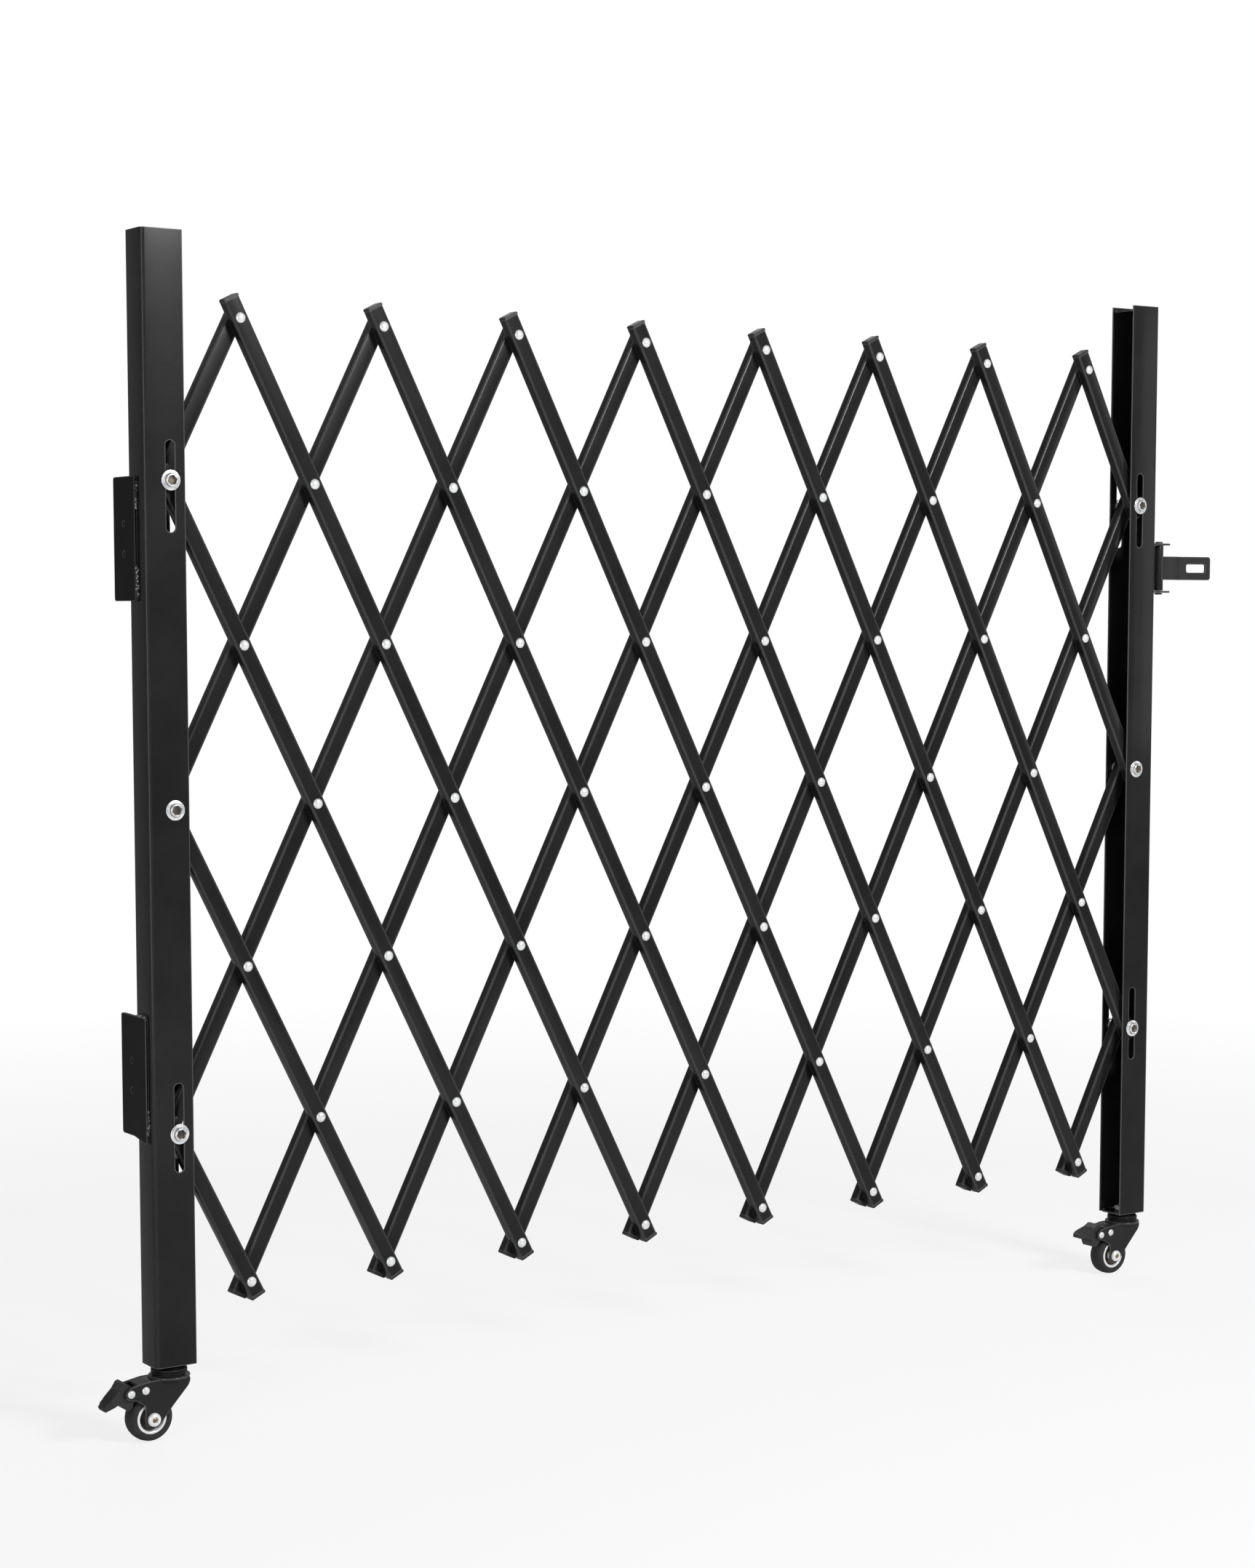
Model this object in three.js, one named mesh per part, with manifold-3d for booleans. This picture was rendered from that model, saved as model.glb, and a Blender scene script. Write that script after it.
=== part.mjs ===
// Expandable safety barrier: a scissor lattice of riveted channel bars between two slotted channel posts,
// with wall brackets on the left post, a slotted hasp on the right post and a braked caster under each post.
// Millimetres, +Z up, X along the barrier, Y through it, and the front faces -Y.

import * as THREE from "three";
import { mergeVertices } from "three/addons/utils/BufferGeometryUtils.js";
import Module from "manifold-3d";

const wasm = await Module();
wasm.setup();

// Fits
const gap = 0.3;               // between pieces that touch
const runningGap = 0.3;        // radial, round a pin that turns
const overrun = 5;             // how far a cut runs past what it cuts
const weldTolerance = 1e-4;

// Lattice
const segmentLength = 187;     // pivot to pivot along a bar
const restAngle = THREE.MathUtils.degToRad(26.7);    // bars from the vertical, as photographed
const foldedAngle = THREE.MathUtils.degToRad(9);
const openAngle = THREE.MathUtils.degToRad(40);
const cells = 8;               // diamonds across
const lastRow = 6;             // pivot rows, counted from 0 at the top
const middleRow = lastRow / 2;
const columns = 2 * cells;     // half pitches between the two posts

// Bars: channels with the web in front and the flanges to the rear
const barWidth = 18;
const barDepth = 12;
const barSheet = 1.2;
const barBend = 2;
const layerGap = 1;            // between the front and the rear layer
const topTail = 21;            // past the top pivot, without the cap
const rearTopTail = 8;         // shorter on the rear bars, so that the front ones hide it
const bottomTail = 16;         // past the bottom pivot, without the cap
const postTail = 15;           // past a pivot inside a post
const capThickness = 3;        // end plug, closing a free end
const capBevel = 1.5;

// Rivets
const rivetDiameter = 5;
const rivetHeadDiameter = 11;
const rivetHeadHeight = 2.6;
const rivetTailDiameter = 9;
const rivetTailHeight = 1.6;
const rivetDomeShares = [0.7, 0.75];                 // of the head's radius and height

// Posts: channels open towards the lattice
const postWidth = 46;
const postDepth = 38;
const postSheet = 1.5;
const postBend = 5;
const postLength = 1162;
const middleBoltHeight = 577.5; // above the post's lower end
const boltInset = 29.6;        // bolt column from the post's outer face
const endPlateSheet = 2;
const topPlateInset = 5;
const slotWidth = 10;
const slotEndRoom = 0.8;

// Post bolts
const boltDiameter = 8;
const boltHeadDiameter = 21;
const boltHeadHeight = 5;
const boltFlangeHeight = 1.4;
const recessAcross = 8.5;
const recessDepth = 3;
const nutAcross = 15;
const nutHeight = 6;
const spacerDiameter = 15;
const boltHeadShares = [0.55, 0.86];                 // radii of the head's crown and foot, of its flange

// Wall brackets
const bracketSheet = 3;
const bracketHeight = 126;
const bracketReach = 28;       // behind the post's rear face
const bracketOffset = 275.5;   // centre from the middle row
const upperBracketInset = 16;  // behind the post's front face
const lowerBracketInset = 8;
const lowerBracketDrop = 5;    // how far its front corner reaches below its rear one
const bracketHole = 6;
const bracketHoleSpacing = 31;
const bracketHoleInset = 24;   // from the rear edge

// Hasp
const haspSheet = 2.5;
const haspHeight = 63;
const haspWidth = 20;
const haspEar = 35.5;
const haspPinOut = 23.5;       // pin from the post's outer face
const haspPinDiameter = 6;
const haspPinHead = 10;
const haspPinHeadHeight = 2;
const haspPinKnobShare = 0.8;
const haspOffset = 256;        // centre above the middle row
const tongueHeight = 30;
const tongueLength = 92;       // pin to tip
const tongueJoggle = 5;        // sideways step
const tongueJoggleStart = 27;  // from the pin
const tongueJoggleLength = 8;
const tongueCorner = 4;
const tongueSlotLength = 34.5;
const tongueSlotHeight = 10.5;
const tongueSlotCentre = 66;   // from the pin
const tongueSlotCorner = 2;

// Casters
const casterHeight = 78;       // floor to the post's lower end
const wheelDiameter = 49;
const tyreWidth = 20;
const hubDiameter = 33;
const hubWidth = 20.6;
const trail = 24;              // axle behind the swivel axis
const forkSheet = 2;
const forkInside = 23;
const crownDiameter = 44;
const crownHeight = 6;
const raceDiameter = 38;
const raceHeight = 9;
const stemDiameter = 10;
const stemNutAcross = 17;
const stemNutHeight = 5.5;
const stemAbovePlate = 7.5;
const axleDiameter = 6;
const axleHeadDiameter = 15;
const axleHeadHeight = 4;
const axleHeadShare = 0.6;
const axleNutAcross = 13;
const pinDiameter = 5;
const pinHeadDiameter = 8.5;
const pinHeadHeight = 1.8;
const pinHeadShares = [0.7, 0.75];                   // of the head's radius and height
const brakeWidth = 20;
const raceShares = [0.4, 0.8];                       // bevel of its height, neck of its radius
const crownShares = [0.86, 0.4, 0.3, 0.82];          // foot radius, two bevels of its height, top radius

// How finely round shapes are divided
const wheelSides = 20;
const swivelSides = 16;
const pinSides = 12;
const rivetSides = 8;
const hexagonSides = 6;
const bendSteps = 2;
const cornerSteps = 3;
const roundSteps = 5;

// Worked out from the sizes above
const rowSpacing = segmentLength * Math.cos(restAngle);
const columnSpacing = segmentLength * Math.sin(restAngle);
const latticeWidth = columns * columnSpacing;
const middleHeight = casterHeight + middleBoltHeight;
const postInside = postDepth / 2 - postSheet;          // inner face of a flange, from the middle plane
const frontFace = -(barDepth + layerGap / 2);          // web of a front bar
const rearFace = layerGap / 2;                         // web of a rear bar
const pivotHole = rivetDiameter + 2 * runningGap;
const boltHole = boltDiameter + 2 * runningGap;
const wheelRadius = wheelDiameter / 2;
const swivelX = postWidth / 2 - boltInset;             // middle of the post, from the bolt column

// Colours, as photographed
function finish(color, roughness, metalness) {
  return new THREE.MeshStandardMaterial({ color, roughness, metalness });
}

const powderCoat = () => finish(0x2b2c2c, 0.55, 0.3);
const darkPlastic = () => finish(0x1d1f20, 0.6, 0);
const brightSteel = () => finish(0xd6d8d8, 0.25, 0.9);
const whiteRim = () => finish(0xd9dadc, 0.3, 0.7);

// Solids
function solid(geometry) {
  const bare = new THREE.BufferGeometry();
  bare.setAttribute("position", geometry.getAttribute("position"));
  if (geometry.index) bare.setIndex(geometry.index);
  const merged = mergeVertices(bare, weldTolerance);
  const points = merged.getAttribute("position").array;
  const corners = [];
  let volume = 0;
  for (let i = 0; i < merged.index.count; i += 3) {
    const [a, b, c] = [0, 1, 2].map((n) => merged.index.getX(i + n));
    if (a === b || b === c || c === a) continue;
    corners.push(a, b, c);
    const [p, q, r] = [a, b, c].map((n) => new THREE.Vector3().fromArray(points, 3 * n));
    volume += p.dot(q.cross(r));
  }
  if (volume < 0) corners.reverse();
  return new wasm.Manifold(new wasm.Mesh({
    numProp: 3,
    vertProperties: Float32Array.from(points),
    triVerts: Uint32Array.from(corners),
  }));
}

function geometryOf(body) {
  const { vertProperties, triVerts } = body.getMesh();
  const geometry = new THREE.BufferGeometry();
  geometry.setAttribute("position", new THREE.BufferAttribute(vertProperties, 3));
  geometry.setIndex(new THREE.BufferAttribute(triVerts, 1));
  geometry.computeVertexNormals();
  return geometry;
}

const join = (...parts) => parts.reduce((whole, part) => whole.add(part));
const cut = (whole, ...tools) => tools.reduce((rest, tool) => rest.subtract(tool), whole);

const outline = (points) => new THREE.Shape(points.map(([x, y]) => new THREE.Vector2(x, y)));

function drawn(shape, depth, curveSegments) {
  return new THREE.ExtrudeGeometry(shape, { depth, bevelEnabled: false, curveSegments });
}

// An outline in X and Y, drawn out along Z
function alongZ(shape, low, high, curveSegments = cornerSteps) {
  return solid(drawn(shape, high - low, curveSegments).translate(0, 0, low));
}

// An outline in X and Z, drawn out along Y
function alongY(shape, low, high, curveSegments = cornerSteps) {
  return solid(drawn(shape, high - low, curveSegments).rotateX(Math.PI / 2).translate(0, high, 0));
}

// An outline in Y and Z, drawn out along X
function alongX(shape, low, high, curveSegments = cornerSteps) {
  const lying = drawn(shape, high - low, curveSegments).rotateX(Math.PI / 2);
  return solid(lying.rotateZ(Math.PI / 2).translate(low, 0, 0));
}

// A profile of [radius, height] points turned about Y, placed at x and z
function turned(profile, sides, x = 0, z = 0) {
  const points = profile.map(([r, y]) => new THREE.Vector2(r, y));
  return solid(new THREE.LatheGeometry(points, sides).translate(x, 0, z));
}

// The same profile turned about Z, placed at x
function turnedUp(profile, sides, x = 0) {
  const points = profile.map(([r, y]) => new THREE.Vector2(r, y));
  return solid(new THREE.LatheGeometry(points, sides).rotateX(Math.PI / 2).translate(x, 0, 0));
}

const rod = (diameter, low, high) => [[0, low], [diameter / 2, low], [diameter / 2, high], [0, high]];

// A round hole with flat sides that keep the full diameter between them
const drill = (diameter, low, high, sides) => rod(diameter / Math.cos(Math.PI / sides), low, high);

const tube = (outer, inner, low, high) => [
  [inner / 2, low], [outer / 2, low], [outer / 2, high], [inner / 2, high], [inner / 2, low],
];

// A hexagon of the given size across flats
function hexagon(across) {
  const step = 2 * Math.PI / hexagonSides;
  const corner = across / 2 / Math.cos(step / 2);
  const turns = Array.from({ length: hexagonSides }, (_, index) => index * step);
  return outline(turns.map((angle) => [corner * Math.cos(angle), corner * Math.sin(angle)]));
}

function roundedBox(width, height, radius) {
  const [x, y] = [width / 2, height / 2];
  const shape = new THREE.Shape();
  shape.moveTo(-x + radius, -y);
  shape.lineTo(x - radius, -y).absarc(x - radius, -y + radius, radius, -Math.PI / 2, 0);
  shape.lineTo(x, y - radius).absarc(x - radius, y - radius, radius, 0, Math.PI / 2);
  shape.lineTo(-x + radius, y).absarc(-x + radius, y - radius, radius, Math.PI / 2, Math.PI);
  shape.lineTo(-x, -y + radius).absarc(-x + radius, -y + radius, radius, Math.PI, 1.5 * Math.PI);
  return shape;
}

// The model
const barrier = new THREE.Group();

function place(name, body, material, parent = barrier) {
  const mesh = new THREE.Mesh(geometryOf(body), material);
  mesh.name = name;
  parent.add(mesh);
  return mesh;
}

const numbered = (name, index) => `${name}_${String(index).padStart(2, "0")}`;

// Channel section of a bar: x across it, y back from its web
function barSection() {
  const half = barWidth / 2;
  return outline([
    [-half, barDepth], [-half, barBend], [-half + barBend, 0], [half - barBend, 0], [half, barBend],
    [half, barDepth], [half - barSheet, barDepth], [half - barSheet, barSheet],
    [-half + barSheet, barSheet], [-half + barSheet, barDepth],
  ]);
}

// A plug that closes the free end of a bar at height z, pointing up (1) or down (-1)
function endCap(z, way) {
  const half = barWidth / 2;
  const [shoulder, tip] = [z + way * (capThickness - capBevel), z + way * capThickness];
  const shape = outline([
    [-half, z], [half, z], [half, shoulder],
    [half - capBevel, tip], [-half + capBevel, tip], [-half, shoulder],
  ]);
  return alongY(shape, 0, barDepth);
}

// A bar upright, with its row 0 pivot at the origin. Its pivots run from row first to row last.
// The rivets of a front bar are clinched fast in it, and a rear bar turns on them.
// Both turn on the post bolts.
function bar(first, last, start, isFront) {
  const topFree = first === 0;
  const bottomFree = last === lastRow;
  const freeTail = isFront ? topTail : rearTopTail;
  const top = -first * segmentLength + (topFree ? freeTail : postTail);
  const bottom = -last * segmentLength - (bottomFree ? bottomTail : postTail);
  const holes = [];
  const parts = [alongZ(barSection(), bottom, top)];
  if (topFree) parts.push(endCap(top, 1));
  if (bottomFree) parts.push(endCap(bottom, -1));
  for (let row = first; row <= last; row++) {
    const column = isFront ? start + row : start - row;
    const atPost = column === 0 || column === columns;
    if (isFront && !atPost) parts.push(rivet(row));
    else {
      const profile = drill(atPost ? boltHole : pivotHole, -overrun, barSheet + overrun, rivetSides);
      holes.push(turned(profile, rivetSides, 0, -row * segmentLength));
    }
  }
  return cut(join(...parts), ...holes);
}

// A rivet through both layers, in the frame of an upright front bar
function rivet(row) {
  const clinch = barDepth + layerGap + barSheet + gap;
  const [head, shank, tail] = [rivetHeadDiameter / 2, rivetDiameter / 2, rivetTailDiameter / 2];
  const profile = [
    [0, -rivetHeadHeight], [rivetDomeShares[0] * head, -rivetDomeShares[1] * rivetHeadHeight], [head, 0],
    [shank, 0], [shank, clinch], [tail, clinch], [0, clinch + rivetTailHeight],
  ];
  return turned(profile, rivetSides, 0, -row * segmentLength);
}

// Stands an upright bar on its row 0 pivot and leans it
function lean(mesh, column, y, angle) {
  mesh.position.set(column * columnSpacing, y, middleHeight + middleRow * rowSpacing);
  mesh.rotation.y = angle;
}

// Front bars run down to the right, rear bars down to the left. A post cuts the outer ones short.
const barCount = columns / 2 + middleRow;
for (let index = 1; index <= barCount; index++) {
  const start = 2 * index - 1 - lastRow;               // column of a front bar at row 0
  const body = bar(Math.max(0, -start), Math.min(lastRow, columns - start), start, true);
  lean(place(numbered("front_bar", index), body, powderCoat()), start, frontFace, -restAngle);
}
for (let index = 1; index <= barCount; index++) {
  const start = 2 * index - 1;                         // column of a rear bar at row 0
  const body = bar(Math.max(0, start - columns), Math.min(lastRow, start), start, false);
  lean(place(numbered("rear_bar", index), body, powderCoat()), start, rearFace, restAngle);
}

// How far a slot bolt rises when the lattice folds and sinks when it opens, from its photographed height
const slotRows = middleRow - 1;
const boltRise = slotRows * segmentLength * (Math.cos(foldedAngle) - Math.cos(restAngle));
const boltFall = slotRows * segmentLength * (Math.cos(restAngle) - Math.cos(openAngle));

// A post stands with its bolt column at x = 0.
// Its web is on the left where side is 1, on the right where it is -1.
function post(side) {
  const [web, edge, half] = [-boltInset, postWidth - boltInset, postDepth / 2];
  const section = new THREE.Shape();
  const innerBend = postBend - postSheet;
  section.moveTo(edge, -half).lineTo(web + postBend, -half);
  section.absarc(web + postBend, -half + postBend, postBend, -Math.PI / 2, -Math.PI, true);
  section.lineTo(web, half - postBend);
  section.absarc(web + postBend, half - postBend, postBend, Math.PI, Math.PI / 2, true);
  section.lineTo(edge, half).lineTo(edge, postInside).lineTo(web + postBend, postInside);
  section.absarc(web + postBend, half - postBend, innerBend, Math.PI / 2, Math.PI, false);
  section.lineTo(web + postSheet, -half + postBend);
  section.absarc(web + postBend, -half + postBend, innerBend, Math.PI, 1.5 * Math.PI, false);
  section.lineTo(edge, -postInside);
  const channel = alongZ(section, casterHeight, casterHeight + postLength, bendSteps);
  const through = [-half - overrun, half + overrun];
  const slots = [1, -1].map((way) => {
    const reach = boltDiameter / 2 + slotEndRoom;
    const outer = slotRows * rowSpacing + boltRise + reach;
    const inner = slotRows * rowSpacing - boltFall - reach;
    const slot = alongY(roundedBox(slotWidth, outer - inner, slotWidth / 2), ...through);
    return slot.translate([0, 0, middleHeight + way * (outer + inner) / 2]);
  });
  const hole = turned(drill(boltHole, ...through, pinSides), pinSides, 0, middleHeight);
  const open = cut(channel, ...slots, hole);
  return side > 0 ? open : open.mirror([1, 0, 0]);
}

// A plate inside the channel, lying at height low. The lower one has a hole for the caster's stem.
function endPlate(side, low, hasHole) {
  const length = postWidth - postSheet - 2 * gap;
  const width = 2 * (postInside - gap);
  const middle = -boltInset + postSheet + gap + length / 2;
  const shape = roundedBox(length, width, postBend);
  const plate = alongZ(shape, low, low + endPlateSheet, bendSteps).translate([middle, 0, 0]);
  const profile = drill(stemDiameter + 2 * gap, 0, low + endPlateSheet + overrun, pinSides);
  const hole = turnedUp(profile, pinSides, swivelX);
  const body = hasHole ? cut(plate, hole) : plate;
  return side > 0 ? body : body.mirror([1, 0, 0]);
}

// A bolt through a post and both layers of bars, tightened with its nut.
// Its two spacers keep the bars off the post's flanges.
function boltSet(z) {
  const front = -postDepth / 2 - gap;
  const rear = postDepth / 2 + gap;
  const flange = front - boltFlangeHeight;
  const top = front - boltHeadHeight;
  const [head, shank, spacer] = [boltHeadDiameter / 2, boltDiameter / 2, spacerDiameter / 2];
  const tip = rear + nutHeight + gap;
  const body = turned([
    [0, top], [boltHeadShares[0] * head, top], [boltHeadShares[1] * head, flange],
    [head, flange], [head, front], [shank, front],
    [shank, -postInside + gap], [spacer, -postInside + gap],
    [spacer, frontFace - gap], [shank, frontFace - gap],
    [shank, rearFace + barSheet + gap], [spacer, rearFace + barSheet + gap],
    [spacer, postInside - gap], [shank, postInside - gap], [shank, tip], [0, tip],
  ], pinSides);
  const recess = alongY(hexagon(recessAcross), top - overrun, top + recessDepth);
  const nut = alongY(hexagon(nutAcross), rear, rear + nutHeight);
  return cut(join(body, nut), recess).translate([0, 0, z]);
}

// A wall bracket: a plate on the left post's outer face that reaches behind it, with two screw holes
function wallBracket(way, inset, drop) {
  const [front, rear] = [-postDepth / 2 + inset, postDepth / 2 + bracketReach];
  const [low, high] = [-bracketHeight / 2, bracketHeight / 2];
  const shape = outline([
    [front, low - drop], [postDepth / 2, low], [rear, low], [rear, high], [front, high],
  ]);
  for (const z of [-bracketHoleSpacing / 2, bracketHoleSpacing / 2]) {
    const hole = new THREE.Path();
    hole.absarc(rear - bracketHoleInset, z, bracketHole / 2, 0, 2 * Math.PI, true);
    shape.holes.push(hole);
  }
  const face = -boltInset - gap;
  const plate = alongX(shape, face - bracketSheet, face, roundSteps);
  return plate.translate([0, 0, middleHeight + way * bracketOffset]);
}

// Hasp, in a frame with the right post's outer face at x = 0 and the hasp's centre at z = 0
function haspBracket() {
  const half = haspHeight / 2;
  const profile = outline([
    [gap, -half], [haspEar, -half], [haspEar, -half + haspSheet], [gap + haspSheet, -half + haspSheet],
    [gap + haspSheet, half - haspSheet], [haspEar, half - haspSheet], [haspEar, half], [gap, half],
  ]);
  const bore = drill(haspPinDiameter + 2 * gap, -half - overrun, half + overrun, pinSides);
  const hole = turnedUp(bore, pinSides, haspPinOut);
  return cut(alongY(profile, -haspWidth / 2, haspWidth / 2), hole);
}

function haspPin() {
  const half = haspHeight / 2 + gap;
  const tip = half + haspPinHeadHeight;
  const [head, shank] = [haspPinHead / 2, haspPinDiameter / 2];
  return turnedUp([
    [0, -tip], [head, -tip], [head, -half], [shank, -half],
    [shank, half], [head, half], [haspPinKnobShare * head, tip], [0, tip],
  ], pinSides, haspPinOut);
}

function haspTongue() {
  const half = haspHeight / 2 - haspSheet - gap;
  const bore = haspPinDiameter + 2 * runningGap;
  const barrel = turnedUp(tube(bore + 2 * haspSheet, bore, -half, half), pinSides);
  const skin = bore / 2 + haspSheet;                   // the strap leaves the barrel along its front
  const [near, far] = [tongueJoggleStart, tongueJoggleStart + tongueJoggleLength];
  const strap = outline([
    [0, -skin], [near, -skin], [far, -skin + tongueJoggle], [tongueLength, -skin + tongueJoggle],
    [tongueLength, -skin + tongueJoggle + haspSheet], [far, -skin + tongueJoggle + haspSheet],
    [near, -skin + haspSheet], [0, -skin + haspSheet],
  ]);
  const face = roundedBox(2 * tongueLength, tongueHeight, tongueCorner);
  const slot = roundedBox(tongueSlotLength, tongueSlotHeight, tongueSlotCorner);
  const depth = [-barrelReach, barrelReach];
  const rounded = alongY(face, ...depth, bendSteps);
  const trimmed = alongZ(strap, -tongueHeight / 2, tongueHeight / 2).intersect(rounded);
  const opening = alongY(slot, ...depth, bendSteps).translate([tongueSlotCentre, 0, 0]);
  return join(barrel, cut(trimmed, opening)).translate([haspPinOut, 0, 0]);
}
const barrelReach = haspPinDiameter + tongueJoggle + 2 * haspSheet;

// Casters, in a frame with the swivel axis at x = 0 and the floor at z = 0
const axleZ = wheelRadius;
const crownTop = casterHeight - gap - raceHeight - gap;
const crownBottom = crownTop - crownHeight;
const forkHalf = forkInside / 2;

// Fork plate, brake pivot and stop pin, as shares of the wheel's radius from its axle
const forkTopShares = [[1.72, 1.6], [1.72, 1.44], [1.64, 1.25], [0.9, 0.46]];
const forkRearShares = [
  [-0.36, 0.2], [-0.38, 0.66], [-0.75, 0.88], [-1.2, 1], [-1.28, 1.3], [-1, 1.52], [-0.1, 1],
];
const forkEndShare = 0.39;
const forkEndTurnShares = [-0.2, -1.1];              // of half a turn, where its round end starts and stops
const brakePivotShare = [-1.01, 1.23];
const stopPinShare = [-0.35, 1.29];
const fromAxle = ([x, z]) => [x * wheelRadius - trail, z * wheelRadius + axleZ];

function stem() {
  const [foot, seat] = [casterHeight - gap - raceHeight, casterHeight - gap];
  const tip = casterHeight + endPlateSheet + stemAbovePlate;
  const race = raceDiameter / 2;
  return turnedUp([
    [0, foot], [race, foot], [race, seat - raceShares[0] * raceHeight], [raceShares[1] * race, seat],
    [stemDiameter / 2, seat], [stemDiameter / 2, tip], [0, tip],
  ], swivelSides);
}

function stemNut() {
  const low = casterHeight + endPlateSheet + gap;
  const profile = drill(stemDiameter + 2 * gap, 0, low + stemNutHeight + overrun, pinSides);
  const bore = turnedUp(profile, pinSides);
  return cut(alongZ(hexagon(stemNutAcross), low, low + stemNutHeight), bore);
}

function fork() {
  const rim = crownDiameter / 2;
  const crown = turnedUp([
    [0, crownBottom], [crownShares[0] * rim, crownBottom],
    [rim, crownBottom + crownShares[1] * crownHeight],
    [rim, crownTop - crownShares[2] * crownHeight], [crownShares[3] * rim, crownTop], [0, crownTop],
  ], swivelSides);
  const side = new THREE.Shape();
  const top = ([x]) => [x * wheelRadius - trail, crownBottom + crownHeight / 2];
  side.moveTo(...top(forkTopShares[0]));
  for (const point of forkTopShares.slice(1)) side.lineTo(...fromAxle(point));
  const [start, stop] = forkEndTurnShares.map((share) => share * Math.PI);
  side.absarc(-trail, axleZ, forkEndShare * wheelRadius, start, stop, true);
  for (const point of forkRearShares.slice(0, -1)) side.lineTo(...fromAxle(point));
  side.lineTo(...top(forkRearShares.at(-1)));
  const holes = [
    [[0, 0], axleDiameter], [brakePivotShare, pinDiameter], [stopPinShare, pinDiameter],
  ].map(([share, diameter]) => {
    const [x, z] = fromAxle(share);
    const reach = forkHalf + forkSheet + overrun;
    return turned(drill(diameter + 2 * gap, -reach, reach, pinSides), pinSides, x, z);
  });
  const sides = [-1, 1].map((way) => {
    const near = way * forkHalf;
    const far = way * (forkHalf + forkSheet);
    return alongY(side, Math.min(near, far), Math.max(near, far));
  });
  return cut(join(crown, ...sides), ...holes);
}

// Outline of half a tyre: shares of its outer radius and of half its width
const tyreShares = [[0.88, 1], [0.97, 0.7], [1, 0.3]];
const tyreBeadShare = 0.9;

function tyre() {
  const [outer, inner, half] = [wheelRadius, hubDiameter / 2 + gap, tyreWidth / 2];
  const side = tyreShares.map(([r, y]) => [r * outer, y * half]);
  return turned([
    [inner, -tyreBeadShare * half], ...side.map(([r, y]) => [r, -y]), ...side.reverse(),
    [inner, tyreBeadShare * half], [inner, -tyreBeadShare * half],
  ], wheelSides, -trail, axleZ);
}

// Outline of half a hub from its boss to its rim: shares of its radius and of half its width
const hubShares = [[0.3, 1], [0.4, 0.45], [0.8, 0.45], [0.84, 0.85], [1, 0.85]];

function hub() {
  const [rim, half, bore] = [hubDiameter / 2, hubWidth / 2, axleDiameter / 2 + runningGap];
  const side = hubShares.map(([r, y]) => [r * rim, y * half]);
  return turned([
    [bore, -half], ...side.map(([r, y]) => [r, -y]), ...side.reverse(), [bore, half], [bore, -half],
  ], wheelSides, -trail, axleZ);
}

// Axle bolt with its nut, held in the fork
function axle() {
  const face = forkHalf + forkSheet + gap;
  const [head, shank, tip] = [axleHeadDiameter / 2, axleDiameter / 2, face + axleHeadHeight + gap];
  const bolt = turned([
    [0, -face - axleHeadHeight], [axleHeadShare * head, -face - axleHeadHeight], [head, -face],
    [shank, -face], [shank, tip], [0, tip],
  ], pinSides);
  const nut = alongY(hexagon(axleNutAcross), face, face + axleHeadHeight);
  return join(bolt, nut).translate([-trail, 0, axleZ]);
}

// A pin riveted in the fork, at shares of the wheel's radius from its axle
function forkPin(share) {
  const face = forkHalf + forkSheet + gap;
  const [x, z] = fromAxle(share);
  const [head, shank] = [pinHeadDiameter / 2, pinDiameter / 2];
  const [bevel, rise] = [pinHeadShares[0] * head, pinHeadShares[1] * pinHeadHeight];
  return turned([
    [0, -face - pinHeadHeight], [bevel, -face - rise], [head, -face], [shank, -face],
    [shank, face], [head, face], [bevel, face + rise], [0, face + pinHeadHeight],
  ], rivetSides, x, z);
}

// Brake pedal round its pivot pin, in shares of the wheel's radius: shoe below, tread to the left,
// release ear above
const pedalShares = [
  [0.26, -0.05], [0.2, -0.26], [-0.02, -0.36], [-0.34, -0.5], [-0.62, -0.86],
  [-0.96, -0.82], [-1.22, -0.62], [-1.24, -0.5], [-0.96, -0.46], [-0.68, -0.44],
  [-0.8, -0.18], [-0.8, 0.12], [-0.64, 0.32], [-0.66, 0.52],
  [-0.62, 0.74], [-0.5, 0.72], [-0.26, 0.34], [0.04, 0.28], [0.24, 0.14],
];

function brake(turn) {
  const shape = outline(pedalShares.map(([x, z]) => [x * wheelRadius, z * wheelRadius]));
  const pedal = alongY(shape, -brakeWidth / 2, brakeWidth / 2);
  const profile = drill(pinDiameter + 2 * runningGap, -brakeWidth, brakeWidth, rivetSides);
  const hole = turned(profile, rivetSides);
  const [x, z] = fromAxle(brakePivotShare);
  return cut(pedal, hole).rotate([0, turn, 0]).translate([x, 0, z]);
}

// The left caster is photographed with its brake down, the right one with its brake up
const brakeTravel = 28;        // degrees

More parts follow.
